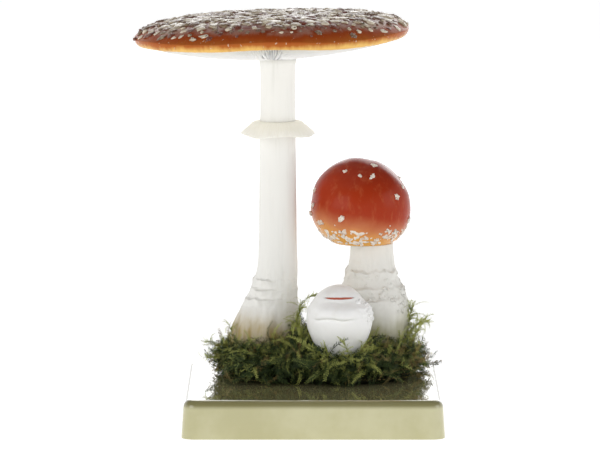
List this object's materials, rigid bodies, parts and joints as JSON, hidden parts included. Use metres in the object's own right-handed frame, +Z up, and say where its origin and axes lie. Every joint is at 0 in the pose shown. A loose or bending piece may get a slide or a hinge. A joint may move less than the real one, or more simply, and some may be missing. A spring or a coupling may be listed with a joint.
{
  "type": "toadstool model",
  "caption": "Display model of fly agaric toadstools at three ages, flat cap, ball cap and closed button, set in moss on a glossy square tray.",
  "frame": {"origin": "centre of the bounding box's footprint, at the level of the surface the tray stands on", "axes": "+Z up along the stems, -Y towards the front that the picture shows, +X to the viewer's right"},
  "size_m": [0.205, 0.2074, 0.2697],
  "materials": {
    "tray_gloss": "glossy olive cream moulding",
    "moss": "dried leafy moss",
    "stem_white": "satin white with ochre stains at the foot",
    "ring_cream": "satin cream",
    "old_cap_paint": "glossy orange brown with a yellow edge and pale flakes",
    "gill_white": "matt white",
    "ball_cap_paint": "glossy red shading to orange at the margin",
    "veil_white": "satin white",
    "wart_white": "matt off-white",
    "steel": "plain zinc-plated steel"
  },
  "bodies": {
    "root": {"base_tray": "tray_gloss", "moss_front_left": "moss", "moss_front_right": "moss", "moss_back": "moss", "old_stem": "stem_white", "young_stem": "stem_white", "old_ring": "ring_cream", "old_cap": "old_cap_paint", "old_gills": "gill_white", "young_cap": "ball_cap_paint", "button_cap": "ball_cap_paint", "young_veil": "veil_white", "button_cup": "veil_white", "button_hood": "veil_white", "young_wart_01": "wart_white", "young_wart_02": "wart_white", "young_wart_03": "wart_white", "young_wart_04": "wart_white", "young_wart_05": "wart_white", "young_wart_06": "wart_white", "young_wart_07": "wart_white", "young_wart_08": "wart_white", "young_wart_09": "wart_white", "young_wart_10": "wart_white", "young_wart_11": "wart_white", "young_wart_12": "wart_white", "young_wart_13": "wart_white", "young_wart_14": "wart_white", "young_wart_15": "wart_white", "young_wart_16": "wart_white", "young_wart_17": "wart_white", "young_wart_18": "wart_white", "young_wart_19": "wart_white", "young_wart_20": "wart_white", "young_wart_21": "wart_white", "young_wart_22": "wart_white", "young_wart_23": "wart_white", "young_wart_24": "wart_white", "old_rod": "steel", "old_washer": "steel", "old_nut": "steel", "old_head_washer": "steel", "old_head_nut": "steel", "young_rod": "steel", "young_washer": "steel", "young_nut": "steel", "button_rod": "steel", "button_washer": "steel", "button_nut": "steel"}
  },
  "joints": []
}
